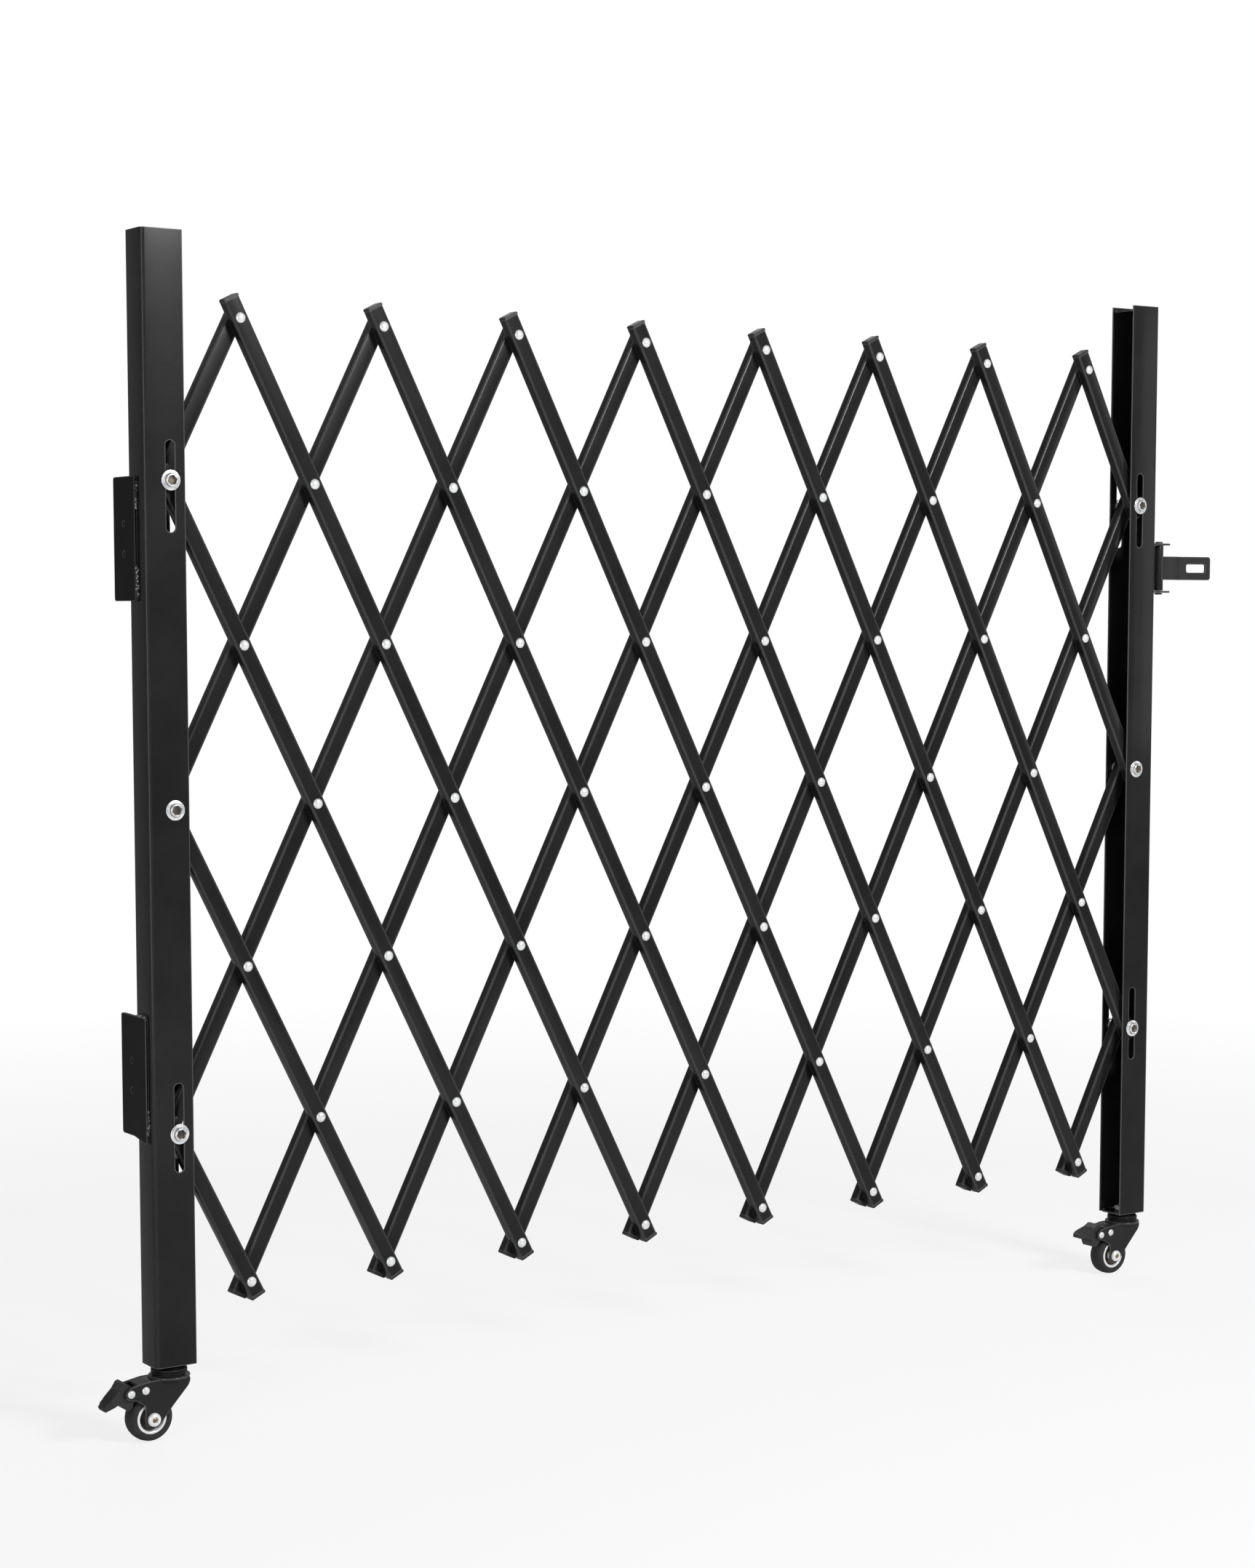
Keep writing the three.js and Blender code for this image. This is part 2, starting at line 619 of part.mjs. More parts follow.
// Two ends of the barrier
const ends = [
  { name: "left", side: 1, x: 0, brakeTurn: 0 },
  { name: "right", side: -1, x: latticeWidth, brakeTurn: brakeTravel },
];
for (const { name, side, x, brakeTurn } of ends) {
  const end = new THREE.Group();
  end.position.x = x;
  barrier.add(end);
  place(`${name}_post`, post(side), powderCoat(), end);
  const topPlateLow = casterHeight + postLength - topPlateInset - endPlateSheet;
  place(`${name}_post_top_plate`, endPlate(side, topPlateLow, false), powderCoat(), end);
  place(`${name}_post_foot_plate`, endPlate(side, casterHeight, true), powderCoat(), end);
  place(`${name}_middle_bolt`, boltSet(middleHeight), brightSteel(), end);
  place(`${name}_upper_slot_bolt`, boltSet(middleHeight + slotRows * rowSpacing), brightSteel(), end);
  place(`${name}_lower_slot_bolt`, boltSet(middleHeight - slotRows * rowSpacing), brightSteel(), end);
  const caster = new THREE.Group();
  caster.position.x = side * swivelX;
  end.add(caster);
  place(`${name}_caster_stem`, stem(), darkPlastic(), caster);
  place(`${name}_caster_stem_nut`, stemNut(), brightSteel(), caster);
  place(`${name}_caster_fork`, fork(), powderCoat(), caster);
  place(`${name}_caster_tyre`, tyre(), darkPlastic(), caster);
  place(`${name}_caster_hub`, hub(), whiteRim(), caster);
  place(`${name}_caster_axle`, axle(), brightSteel(), caster);
  place(`${name}_caster_brake_pin`, forkPin(brakePivotShare), brightSteel(), caster);
  place(`${name}_caster_stop_pin`, forkPin(stopPinShare), brightSteel(), caster);
  place(`${name}_caster_brake`, brake(brakeTurn), darkPlastic(), caster);
}

place("upper_wall_bracket", wallBracket(1, upperBracketInset, 0), powderCoat());
place("lower_wall_bracket", wallBracket(-1, lowerBracketInset, lowerBracketDrop), powderCoat());

const hasp = new THREE.Group();
hasp.position.set(latticeWidth + boltInset, 0, middleHeight + haspOffset);
barrier.add(hasp);
place("hasp_bracket", haspBracket(), powderCoat(), hasp);
place("hasp_pin", haspPin(), powderCoat(), hasp);
place("hasp_tongue", haspTongue(), powderCoat(), hasp);

// The origin is in the middle of the upper wall bracket's outer face
barrier.position.set(
  boltInset + gap + bracketSheet,
  -(upperBracketInset + bracketReach) / 2,
  -(middleHeight + bracketOffset),
);

export default barrier;
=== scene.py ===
"""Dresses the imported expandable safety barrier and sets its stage, light and camera."""
from math import atan2, cos, pi, radians, sin, sqrt, tan

import bmesh
import bpy
from mathutils import Matrix, Vector, noise


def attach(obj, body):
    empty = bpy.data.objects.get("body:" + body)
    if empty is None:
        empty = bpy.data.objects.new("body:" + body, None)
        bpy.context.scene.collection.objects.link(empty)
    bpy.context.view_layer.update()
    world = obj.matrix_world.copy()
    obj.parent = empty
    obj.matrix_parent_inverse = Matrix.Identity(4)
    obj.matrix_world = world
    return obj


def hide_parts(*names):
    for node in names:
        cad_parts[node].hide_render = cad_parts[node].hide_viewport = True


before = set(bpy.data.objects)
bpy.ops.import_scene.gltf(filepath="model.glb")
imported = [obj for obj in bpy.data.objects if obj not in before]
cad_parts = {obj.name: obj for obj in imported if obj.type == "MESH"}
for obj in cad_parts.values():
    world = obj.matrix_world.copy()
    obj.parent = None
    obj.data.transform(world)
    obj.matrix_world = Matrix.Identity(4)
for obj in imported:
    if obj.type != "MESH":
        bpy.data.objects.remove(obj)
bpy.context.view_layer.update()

# Sizes in millimetres, as in the model's source
MM = 0.001
GAP = 0.3                                    # between pieces that touch
SEGMENT = 187.0                              # pivot to pivot along a bar
LEAN = radians(26.7)                         # bars from the vertical, as photographed
FOLDED, OPENED = radians(9), radians(40)
ROW = SEGMENT * cos(LEAN)
COLUMN = SEGMENT * sin(LEAN)
LAST_ROW, COLUMNS = 6, 16
BAR_COUNT = 11                               # on each layer
BAR_WIDTH, BAR_DEPTH, BAR_SHEET, BAR_BEND = 18.0, 12.0, 1.2, 2.4
LAYER_GAP = 1.0
TOP_TAIL, REAR_TOP_TAIL, BOTTOM_TAIL, POST_TAIL = 21.0, 8.0, 16.0, 15.0
POST_WIDTH, POST_DEPTH, POST_SHEET, POST_BEND, POST_LENGTH = 46.0, 38.0, 1.5, 5.0, 1162.0
END_PLATE, TOP_PLATE_INSET = 2, 5.0
BOLT_INSET = 29.6                            # bolt column from the post's outer face
CASTER_HEIGHT = 78.0
MIDDLE = CASTER_HEIGHT + 577.5               # height of the middle bolts
SLOT_ROWS = 2                                # rows from a middle bolt to a slot bolt
BRACKET_SHEET, BRACKET_HEIGHT, BRACKET_REACH, BRACKET_OFFSET = 3.0, 126.0, 28.0, 275.5

# Where the model's own frame starts, and what lies where in it
ORIGIN = Vector((BOLT_INSET + GAP + BRACKET_SHEET, -22.0, -(MIDDLE + BRACKET_OFFSET)))
FRONT = -(BAR_DEPTH + LAYER_GAP / 2)
REAR = LAYER_GAP / 2
RIGHT = COLUMNS * COLUMN
FLOOR = ORIGIN.z * MM


# Materials
MIRRORED_WHITE = 0.12                        # share of the white background that reflections see
EDGE_SAMPLES = 6


class Tree:
    """The node tree of a material or world, with short calls for the nodes used here."""

    def __init__(self, owner):
        owner.use_nodes = True
        self.nodes, self.links = owner.node_tree.nodes, owner.node_tree.links

    def new(self, kind, **inputs):
        node = self.nodes.new("ShaderNode" + kind)
        for name, value in inputs.items():
            node.inputs[name.replace("_", " ")].default_value = value
        return node

    def link(self, source, target):
        self.links.new(source, target)

    def noise(self, scale, detail, roughness=0.5):
        """A noise in the piece's own metres."""
        texture = self.new("TexNoise", Scale=scale, Detail=detail, Roughness=roughness)
        self.link(self.new("TexCoord").outputs["Object"], texture.inputs["Vector"])
        return texture.outputs["Fac"]

    def ramp(self, source, low, high, low_value=0, high_value=1):
        """source, mapped from low..high to low_value..high_value."""
        node = self.new("MapRange", From_Min=low, From_Max=high, To_Min=low_value, To_Max=high_value)
        self.link(source, node.inputs["Value"])
        return node.outputs["Result"]

    def math(self, operation, first, second):
        node = self.new("Math")
        node.operation = operation
        for socket, value in zip(node.inputs, (first, second)):
            if isinstance(value, (int, float)):
                socket.default_value = value
            else:
                self.link(value, socket)
        return node.outputs["Value"]

    def blend(self, factor, first, second):
        """Mixes two colours, each three numbers or a socket."""
        node = self.new("Mix")
        node.data_type = "RGBA"
        self.link(factor, node.inputs["Factor"])
        for name, value in zip(("A", "B"), (first, second)):
            target = next(socket for socket in node.inputs if socket.name == name and socket.type == "RGBA")
            if isinstance(value, tuple):
                target.default_value = (*value, 1.0)
            else:
                self.link(value, target)
        return next(socket for socket in node.outputs if socket.type == "RGBA")

    def bump(self, height, strength, distance):
        node = self.new("Bump", Strength=strength, Distance=distance)
        self.link(height, node.inputs["Height"])
        return node.outputs["Normal"]

    def edge_mask(self, radius, low, high):
        """0 on flat faces and 1 on edges sharper than the radius can follow."""
        bevel = self.new("Bevel", Radius=radius)
        bevel.samples = EDGE_SAMPLES
        dot = self.new("VectorMath")
        dot.operation = "DOT_PRODUCT"
        self.link(bevel.outputs["Normal"], dot.inputs[0])
        self.link(self.new("NewGeometry").outputs["Normal"], dot.inputs[1])
        return self.ramp(dot.outputs["Value"], high, low)

    def mix_shaders(self, share, first, second, output):
        node = self.new("MixShader")
        for source, target in ((share, node.inputs["Fac"]), (first, node.inputs[1]), (second, node.inputs[2]),
                               (node.outputs["Shader"], self.nodes[output].inputs["Surface"])):
            self.link(source, target)

    def background_rays(self):
        """1 where the camera sees the white background, and less in reflections, as between dark walls."""
        path = self.new("LightPath").outputs
        mirrored = self.math("MAXIMUM", path["Is Glossy Ray"], path["Is Transmission Ray"])
        return self.math("MAXIMUM", path["Is Camera Ray"], self.math("MULTIPLY", mirrored, MIRRORED_WHITE))


def new_material(name):
    material = bpy.data.materials.new(name)
    tree = Tree(material)
    return material, tree, tree.nodes["Principled BSDF"].inputs


def grey(level):
    return (level, level, level)


def coated(name, dark, light, scuff_and_highlight_grey, rough, grain, specular, coat=0.25, scuff_and_highlight_share=0.6):
    """Powder coat or paint: mottled tone, orange-peel grain, and paler edges that are part scuffed coat and
    part painted highlight, with a painted highlight line along each bend.
    """
    material, tree, shader = new_material(name)
    tone = tree.blend(tree.ramp(tree.noise(14, 3), 0.35, 0.68), grey(dark), grey(light))
    # Paler edges in patches: part scuffed coat, part painted highlight where the edges catch the light
    patches = tree.ramp(tree.noise(60, 4, 0.6), 0.36, 0.62, 0.25 * scuff_and_highlight_share, scuff_and_highlight_share)
    scuffs_and_painted_highlights = tree.math("MULTIPLY", tree.edge_mask(0.0009, 0.9, 0.995), patches)
    # A painted highlight: a fine paler line along each bend, where the rounded bend would catch the light
    painted_bend_highlight = tree.math("MULTIPLY", tree.edge_mask(0.0015, 0.9955, 0.9992), 0.75)
    tone_and_painted_highlight = tree.blend(painted_bend_highlight, tone, grey(scuff_and_highlight_grey))
    tree.link(tree.blend(scuffs_and_painted_highlights, tone_and_painted_highlight, grey(scuff_and_highlight_grey)), shader["Base Color"])
    tree.link(tree.ramp(tree.noise(900, 2), 0.3, 0.7, rough - 0.06, rough + 0.08), shader["Roughness"])
    shader["Specular IOR Level"].default_value = specular
    shader["Coat Weight"].default_value = coat
    shader["Coat Roughness"].default_value = 0.13
    tree.link(tree.bump(tree.noise(grain, 2, 0.45), 0.35, 0.0002), shader["Normal"])
    return material


def weld_paint_with_painted_glints(name, dark, bright):
    """Paint over a weld: black, with glints painted into its colour where the ripples catch the light."""
    material, tree, shader = new_material(name)
    glint = tree.noise(420, 2)
    # The pale spots in the colour are painted glints
    tree.link(tree.blend(tree.ramp(glint, 0.56, 0.66), grey(dark), grey(bright)), shader["Base Color"])
    tree.link(tree.ramp(glint, 0.4, 0.65, 0.35, 0.15), shader["Roughness"])
    tree.link(tree.bump(glint, 0.6, 0.0004), shader["Normal"])
    return material


def metal(name, colour, tint, rough, shine=1.0):
    """Plated steel with a fine grain and faint mottling."""
    material, tree, shader = new_material(name)
    tree.link(tree.blend(tree.ramp(tree.noise(160, 3), 0.35, 0.7), colour, tint), shader["Base Color"])
    shader["Metallic"].default_value = shine
    fine = tree.noise(700, 3, 0.6)
    tree.link(tree.ramp(fine, 0.3, 0.7, rough - 0.07, rough + 0.1), shader["Roughness"])
    tree.link(tree.bump(fine, 0.12, 0.0001), shader["Normal"])
    return material


def moulded(name, colour, light, rough, grain, strength):
    """Rubber or plastic: matt, with a fine moulded grain and dusty patches."""
    material, tree, shader = new_material(name)
    dust = tree.noise(45, 5, 0.6)
    tree.link(tree.blend(tree.ramp(dust, 0.45, 0.75), colour, light), shader["Base Color"])
    fine = tree.noise(grain, 3)
    tree.link(tree.ramp(fine, 0.3, 0.7, rough - 0.05, rough + 0.08), shader["Roughness"])
    tree.link(tree.bump(fine, strength, 0.0002), shader["Normal"])
    return material


POWDER = coated("powder_coat", 0.0095, 0.0145, 0.13, 0.3, 700, 0.05, scuff_and_highlight_share=0.4)
# A darker copy of the powder coat for the wall brackets: painted shade on the post's unlit side
SHADED_BRACKET_POWDER = coated("bracket_powder_painted_shade", 0.0035, 0.006, 0.11, 0.34, 700, 0.03, coat=0.05, scuff_and_highlight_share=0.4)
CASTER_STEEL = coated("caster_steel", 0.010, 0.016, 0.09, 0.3, 500, 0.14)
# A darker copy of the caster steel for the swivel race under the post's foot: painted shade
SHADED_SWIVEL_STEEL = coated("swivel_steel_painted_shade", 0.0035, 0.006, 0.06, 0.42, 500, 0.06, coat=0.05, scuff_and_highlight_share=0.3)
WELD_PAINT = weld_paint_with_painted_glints("weld_paint", 0.012, 0.5)
BOLT_ZINC = metal("bolt_zinc", (0.9, 0.91, 0.92), (0.72, 0.73, 0.75), 0.22, 0.75)
ZINC = metal("bright_zinc", (0.88, 0.89, 0.9), (0.76, 0.77, 0.78), 0.24, 0.45)
RIM = metal("bright_rim", (0.94, 0.94, 0.95), (0.86, 0.86, 0.88), 0.22, 0.3)
BRASS = metal("axle_end", (0.36, 0.29, 0.17), (0.22, 0.17, 0.1), 0.35)
# Dark metal laid where shade falls, in the hub hollows and at the bottom of the screw recesses: painted shade
PAINTED_SHADE_METAL = metal("painted_shade_metal", (0.05, 0.045, 0.05), (0.16, 0.13, 0.07), 0.35, 0.6)
RUBBER = moulded("tyre_rubber", grey(0.012), grey(0.03), 0.78, 600, 0.3)
PLASTIC = moulded("black_plastic", (0.012, 0.012, 0.013), (0.022, 0.022, 0.023), 0.5, 900, 0.2)


# Outlines
STRAIGHT = radians(89.5)                     # half a corner that is as good as straight
LARGEST_SHARE = 0.499                        # of a side that a rounded corner may take


def fillet(points, radius, steps=5, closed=True):
    """The polygon with its corners rounded. A point may carry a radius of its own as a third number."""
    rounded = []
    count = len(points)
    for index, point in enumerate(points):
        here = Vector(point[:2])
        if not closed and index in (0, count - 1):
            rounded.append(tuple(here))
            continue
        before = Vector(points[index - 1][:2]) - here
        after = Vector(points[(index + 1) % count][:2]) - here
        wanted = point[2] if len(point) > 2 else radius
        half = before.angle(after) / 2
        if wanted <= 0 or half > STRAIGHT:
            rounded.append(tuple(here))
            continue
        back = min(wanted / tan(half), LARGEST_SHARE * before.length, LARGEST_SHARE * after.length)
        real = back * tan(half)
        middle = here + (before.normalized() + after.normalized()).normalized() * (real / sin(half))
        start, end = here + before.normalized() * back - middle, here + after.normalized() * back - middle
        first = atan2(start.y, start.x)
        turn = atan2(end.y, end.x) - first
        turn = (turn + pi) % (2 * pi) - pi
        for step in range(steps + 1):
            angle = first + turn * step / steps
            rounded.append((middle.x + real * cos(angle), middle.y + real * sin(angle)))
    return rounded


def circle(radius, sides=32, x=0.0, y=0.0):
    angles = [2 * pi * n / sides for n in range(sides)]
    return [(x + radius * cos(angle), y + radius * sin(angle)) for angle in angles]


def hexagon(across, turn=0.0):
    corner = across / sqrt(3)
    angles = [turn + n * pi / 3 for n in range(6)]
    return [(corner * cos(angle), corner * sin(angle)) for angle in angles]


def rounded_box(width, height, radius, steps):
    x, y = width / 2, height / 2
    return fillet([(-x, -y), (x, -y), (x, y), (-x, y)], radius, steps)


# Meshes: lists of vertices in millimetres and of faces
class Mesh:
    def __init__(self):
        self.vertices, self.faces = [], []

    def add(self, vertices, faces, matrix=None):
        start = len(self.vertices)
        for vertex in vertices:
            vertex = Vector(vertex)
            self.vertices.append(matrix @ vertex if matrix else vertex)
        self.faces += [[start + index for index in face] for face in faces]
        return self

    def join(self, other, matrix=None):
        return self.add(other.vertices, other.faces, matrix)


def loft(rings):
    """Skins rings of equal length and closes both ends."""
    count = len(rings[0])
    faces = []
    for ring in range(len(rings) - 1):
        low, high = ring * count, (ring + 1) * count
        for n in range(count):
            m = (n + 1) % count
            faces.append((low + n, low + m, high + m, high + n))
    faces.append(tuple(reversed(range(count))))
    faces.append(tuple(range((len(rings) - 1) * count, len(rings) * count)))
    return Mesh().add([point for ring in rings for point in ring], faces)


AXES = {"x": lambda u, v, w: (w, u, v), "y": lambda u, v, w: (u, w, v), "z": lambda u, v, w: (u, v, w)}


def prism(outline, low, high, axis):
    """An outline drawn out along an axis."""
    return loft([[AXES[axis](u, v, level) for u, v in outline] for level in (low, high)])


def lathe(profile, sides=32, axis="y", loop=False):
    """A profile of (radius, height) points turned about an axis through the origin."""
    vertices, rings = [], []
    for radius, height in profile:
        if radius == 0:
            rings.append([len(vertices)])
            vertices.append(AXES[axis](0, 0, height))
        else:
            rings.append([len(vertices) + n for n in range(sides)])
            vertices += [AXES[axis](u, v, height) for u, v in circle(radius, sides)]
    faces = []
    pairs = list(zip(rings, rings[1:])) + ([(rings[-1], rings[0])] if loop else [])
    for low, high in pairs:
        for n in range(sides):
            m = (n + 1) % sides
            if len(low) == 1 and len(high) > 1:
                faces.append((low[0], high[m], high[n]))
            elif len(high) == 1 and len(low) > 1:
                faces.append((low[n], low[m], high[0]))
            elif len(low) > 1:
                faces.append((low[n], low[m], high[m], high[n]))
    return Mesh().add(vertices, faces)


# Pieces
SMOOTH_BELOW, SOFTEN_ABOVE = radians(34), radians(32)
WELD = 1e-6


def tidy(data):
    """Faces out, smooth between sharp edges."""
    work = bmesh.new()
    work.from_mesh(data)
    bmesh.ops.remove_doubles(work, verts=work.verts, dist=WELD)
    bmesh.ops.recalc_face_normals(work, faces=work.faces)
    work.to_mesh(data)
    work.free()
    data.polygons.foreach_set("use_smooth", [True] * len(data.polygons))
    data.set_sharp_from_angle(angle=SMOOTH_BELOW)
    data.update()


def new_object(name, data):
    item = bpy.data.objects.new(name, data)
    bpy.context.scene.collection.objects.link(item)
    return item


def mesh_object(name, mesh, matrix):
    data = bpy.data.meshes.new(name)
    data.from_pydata([matrix @ vertex for vertex in mesh.vertices], [], mesh.faces)
    tidy(data)
    return new_object(name, data)


def carve(piece, tools, matrix):
    """Cuts a piece to shape. Each tool is a mesh and what it does to the piece."""
    helpers = []
    for tool, operation in tools:
        helper = mesh_object("tool", tool, matrix)
        modifier = piece.modifiers.new("carve", "BOOLEAN")
        modifier.operation, modifier.solver, modifier.object = operation, "EXACT", helper
        helpers.append(helper)
    whole = piece.data
    carved = bpy.data.meshes.new_from_object(piece.evaluated_get(bpy.context.evaluated_depsgraph_get()))
    piece.modifiers.clear()
    piece.data = carved
    carved.name = piece.name
    bpy.data.meshes.remove(whole)
    for helper in helpers:
        tool_data = helper.data
        bpy.data.objects.remove(helper)
        bpy.data.meshes.remove(tool_data)
    tidy(carved)


def soften(piece, width, segments=2):
    modifier = piece.modifiers.new("edges", "BEVEL")
    modifier.width, modifier.segments = width * MM, segments
    modifier.limit_method, modifier.angle_limit = "ANGLE", SOFTEN_ABOVE
    modifier.harden_normals = True
    modifier.use_clamp_overlap = True


def paint(piece, material):
    piece.data.materials.clear()
    piece.data.materials.append(material)


def make(name, mesh, material, body, replaces=None, cutters=(), bevel=0.0, segments=2, matrix=None, keep=()):
    """A piece from a mesh in the barrier's own millimetres, carved, softened and riding on a body."""
    whole = Matrix.Scale(MM, 4) @ Matrix.Translation(ORIGIN) @ (matrix or Matrix())
    piece = mesh_object(name, mesh, whole)
    tools = [(tool, "DIFFERENCE") for tool in cutters] + [(tool, "INTERSECT") for tool in keep]
    if tools:
        carve(piece, tools, whole)
    paint(piece, material)
    if bevel:
        soften(piece, bevel, segments)
    if replaces:
        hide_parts(*([replaces] if isinstance(replaces, str) else replaces))
    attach(piece, body)


def finish_node(name, material, bevel):
    """A CAD node that stays as it is, with a real material."""
    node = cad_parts[name]
    paint(node, material)
    soften(node, bevel)


def moved(x=0.0, y=0.0, z=0.0):
    return Matrix.Translation((x, y, z))


# Lattice bars
RIVET_HEAD = [
    (0, -2.6), (1.4, -2.52), (2.7, -2.25), (3.8, -1.8), (4.7, -1.2), (5.25, -0.65), (5.5, -0.2), (5.5, 0.05),
]
RIVET_TAIL = [
    (4.5, 0.0), (4.6, 0.35), (4.3, 0.95), (3.4, 1.35), (2.4, 1.6), (1.6, 1.55), (1.2, 1.2), (0, 1.0),
]
RIVET_RADIUS = 2.5
PLUG, PLUG_CORNER, PLUG_REACH, PLUG_FIT = 3.0, 1.8, 9, 0.1


def bar_section():
    """Section of a bar: its web at y = 0 and its flanges running back."""
    half, inner, lip = BAR_WIDTH / 2, BAR_BEND - BAR_SHEET, 0.45 * BAR_SHEET
    return fillet([
        (-half, BAR_DEPTH, lip), (-half, 0, BAR_BEND), (half, 0, BAR_BEND), (half, BAR_DEPTH, lip),
        (half - BAR_SHEET, BAR_DEPTH, lip), (half - BAR_SHEET, BAR_SHEET, inner),
        (-half + BAR_SHEET, BAR_SHEET, inner), (-half + BAR_SHEET, BAR_DEPTH, lip),
    ], BAR_BEND)


def plug_mesh(end, way):
    """The plug in a bar's free end, with the tongue that grips inside the channel."""
    half = BAR_WIDTH / 2
    tip = end + way * PLUG
    face = [(-half, end, 0), (half, end, 0), (half, tip, PLUG_CORNER), (-half, tip, PLUG_CORNER)]
    mesh = prism(fillet(face, PLUG_CORNER, 4), 0, BAR_DEPTH, "y")
    inner = half - BAR_SHEET - PLUG_FIT
    near, deep = end + way * 0.5, end - way * PLUG_REACH
    tongue = fillet([(-inner, near, 0), (inner, near, 0), (inner, deep, 1), (-inner, deep, 1)], 1, 3)
    mesh.join(prism(tongue, BAR_SHEET + 0.15, BAR_DEPTH - 1.6, "y"))
    return mesh


def rivet_mesh():
    """Dome head, shank and clinched tail about the y axis, from the front of a bar."""
    rear = BAR_DEPTH + LAYER_GAP + BAR_SHEET + GAP
    shank = [(RIVET_RADIUS, 0.05), (RIVET_RADIUS, rear)]
    return lathe(RIVET_HEAD + shank + [(radius, rear + height) for radius, height in RIVET_TAIL], 28)


def build_bar(index, is_front):
    start = 2 * index - 1 - (LAST_ROW if is_front else 0)
    first = max(0, -start) if is_front else max(0, start - COLUMNS)
    last = min(LAST_ROW, COLUMNS - start) if is_front else min(LAST_ROW, start)
    name = "%s_bar_%02d" % ("front" if is_front else "rear", index)
    matrix = moved(start * COLUMN, FRONT if is_front else REAR, MIDDLE + LAST_ROW / 2 * ROW)
    matrix = matrix @ Matrix.Rotation(-LEAN if is_front else LEAN, 4, "Y")
    free = TOP_TAIL if is_front else REAR_TOP_TAIL
    top = -first * SEGMENT + (free if first == 0 else POST_TAIL)
    bottom = -last * SEGMENT - (BOTTOM_TAIL if last == LAST_ROW else POST_TAIL)
    make(name + "_channel", prism(bar_section(), bottom, top, "z"), POWDER, name, name, matrix=matrix)
    if first == 0:
        make(name + "_top_plug", plug_mesh(top, 1), PLASTIC, name, bevel=0.3, matrix=matrix)
    if last == LAST_ROW:
        make(name + "_bottom_plug", plug_mesh(bottom, -1), PLASTIC, name, bevel=0.3, matrix=matrix)
    if not is_front:
        return
    rivets = Mesh()
    for row in range(first, last + 1):
        if 0 < start + row < COLUMNS:
            rivets.join(rivet_mesh(), moved(z=-row * SEGMENT))
    make(name + "_rivets", rivets, ZINC, name, matrix=matrix)


for number in range(1, BAR_COUNT + 1):
    build_bar(number, True)
    build_bar(number, False)


# Posts. Left-hand shapes stand at x = 0, and the right-hand ones are their mirror images.
BOLT_RADIUS, SLOT_ROOM, SLOT_WIDTH = 4, 0.8, 10
SLOT_TOP = SLOT_ROWS * SEGMENT * cos(FOLDED) + BOLT_RADIUS + SLOT_ROOM
SLOT_FOOT = SLOT_ROWS * SEGMENT * cos(OPENED) - (BOLT_RADIUS + SLOT_ROOM)
MIDDLE_HOLE_RADIUS = 4.4
OVERRUN = 5                                  # how far a cut runs past a post
X_AXIS = (1, 0, 0)


def side_matrix(side):
    if side > 0:
        return Matrix()
    return moved(RIGHT) @ Matrix.Scale(-1, 4, X_AXIS)


def post_outline():
    web, edge, half = -BOLT_INSET, POST_WIDTH - BOLT_INSET, POST_DEPTH / 2
    lip, inner = 0.6, POST_BEND - POST_SHEET
    return fillet([
        (edge, -half, lip), (web, -half, POST_BEND), (web, half, POST_BEND), (edge, half, lip),
        (edge, half - POST_SHEET, lip), (web + POST_SHEET, half - POST_SHEET, inner),
        (web + POST_SHEET, -half + POST_SHEET, inner), (edge, -half + POST_SHEET, lip),
    ], POST_BEND, 7)


BEAD_STEP, BEAD_SIDES, RIPPLE_LENGTH = 0.55, 10, 2.6


def bead(start, end, radius, seed, up=(0, 0, 1)):
    """A straight weld bead of overlapping ripples, smaller at its ends."""
    start, end, up = Vector(start), Vector(end), Vector(up)
    length = (end - start).length
    side = (end - start).normalized().cross(up).normalized()
    count = max(8, int(length / BEAD_STEP))
    rings = []
    for step in range(count + 1):
        along = length * step / count
        uneven = 0.22 * noise.noise(Vector((along * 0.35, seed, 0)))
        ripple = 1 + 0.1 * sin(along * 2 * pi / RIPPLE_LENGTH) + uneven
        size = radius * ripple * min(1.0, 0.25 + min(along, length - along) / (1.6 * radius))
        wander = 0.25 * radius * noise.noise(Vector((along * 0.2, seed + 5, 0)))
        centre = start.lerp(end, along / length) + side * wander
        rings.append([centre + (side * cos(angle) + up * sin(angle)) * size
                      for angle in [2 * pi * n / BEAD_SIDES for n in range(BEAD_SIDES)]])
    return loft(rings)


def build_post(name, side):
    matrix = side_matrix(side)
    reach = POST_DEPTH / 2 + OVERRUN
    cutters = []
    for way in (1, -1):
        outline = rounded_box(SLOT_WIDTH, SLOT_TOP - SLOT_FOOT, SLOT_WIDTH / 2, 10)
        middle = MIDDLE + way * (SLOT_TOP + SLOT_FOOT) / 2
        cutters.append(prism([(x, z + middle) for x, z in outline], -reach, reach, "y"))
    cutters.append(prism(circle(MIDDLE_HOLE_RADIUS, 28, 0, MIDDLE), -reach, reach, "y"))
    top = CASTER_HEIGHT + POST_LENGTH
    channel = prism(post_outline(), CASTER_HEIGHT, top, "z")
    make(name + "_channel", channel, POWDER, name, name, cutters, bevel=0.35, matrix=matrix)
    for node in ("_top_plate", "_foot_plate"):
        finish_node(name + node, POWDER, 0.3)
    # The plates are welded to the web and the flanges along their edges
    inner = POST_DEPTH / 2 - POST_SHEET - GAP
    web, edge, size = -BOLT_INSET + POST_SHEET + 0.6, POST_WIDTH - BOLT_INSET - 4, 0.9
    for label, level in (("top", top - TOP_PLATE_INSET + 0.3), ("foot", CASTER_HEIGHT + END_PLATE + 0.1)):
        seams = Mesh()
        for way in (1, -1):
            seams.join(bead((web + 5, way * inner, level), (edge, way * inner, level), size, 3 * way + side))
        seams.join(bead((web, -inner + 5, level), (web, inner - 5, level), size, 11 + side))
        make("%s_%s_weld" % (name, label), seams, WELD_PAINT, name, matrix=matrix)


